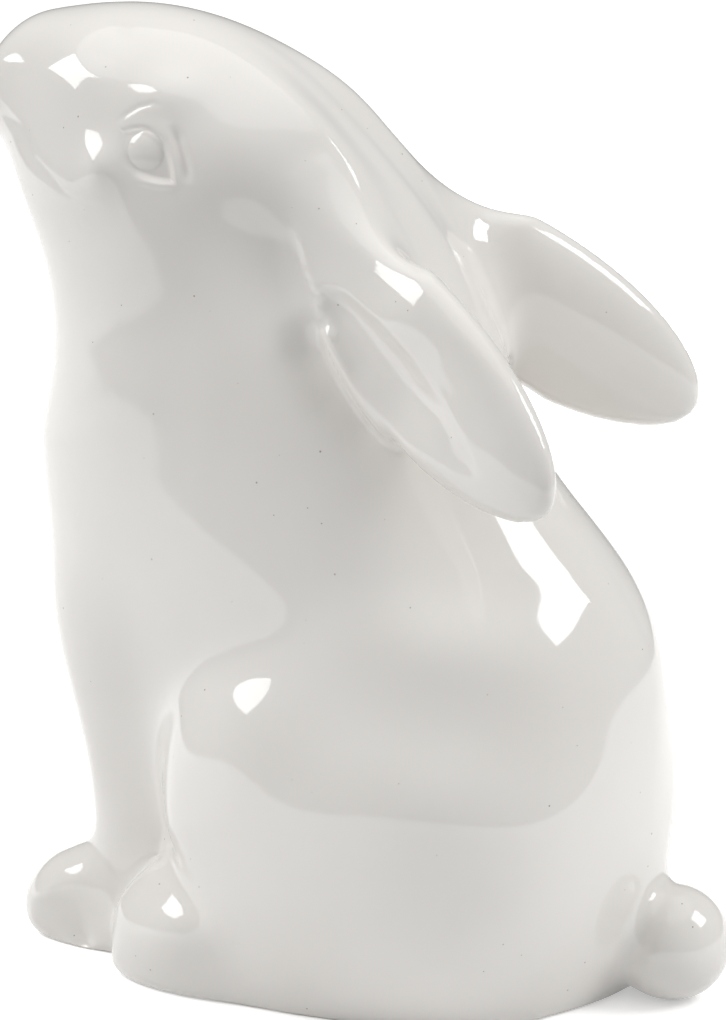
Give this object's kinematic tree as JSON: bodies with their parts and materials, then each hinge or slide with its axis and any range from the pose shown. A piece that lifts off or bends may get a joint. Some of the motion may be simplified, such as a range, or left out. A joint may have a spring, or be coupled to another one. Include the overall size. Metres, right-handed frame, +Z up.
{
  "type": "ceramic rabbit figurine",
  "caption": "Seated rabbit ornament in white glazed ceramic, looking up with its ears laid back, cast hollow in separate pieces and free-standing on a flat base.",
  "frame": {"origin": "middle of the base plane on which the figurine stands, below the neck's turn, on the mirror plane", "axes": "+Z up, -Y the way the rabbit faces, +X the rabbit's left side"},
  "size_m": [0.0616, 0.0972, 0.1179],
  "materials": {
    "white_glaze": "clear high-gloss glaze over a warm white body"
  },
  "bodies": {
    "root": {"torso_shell": "white_glaze", "head_shell": "white_glaze", "left_ear": "white_glaze", "right_ear": "white_glaze", "left_eye": "white_glaze", "right_eye": "white_glaze", "left_foreleg": "white_glaze", "right_foreleg": "white_glaze", "left_forepaw": "white_glaze", "right_forepaw": "white_glaze", "left_haunch": "white_glaze", "right_haunch": "white_glaze", "left_hind_foot": "white_glaze", "right_hind_foot": "white_glaze", "tail": "white_glaze"}
  },
  "joints": []
}
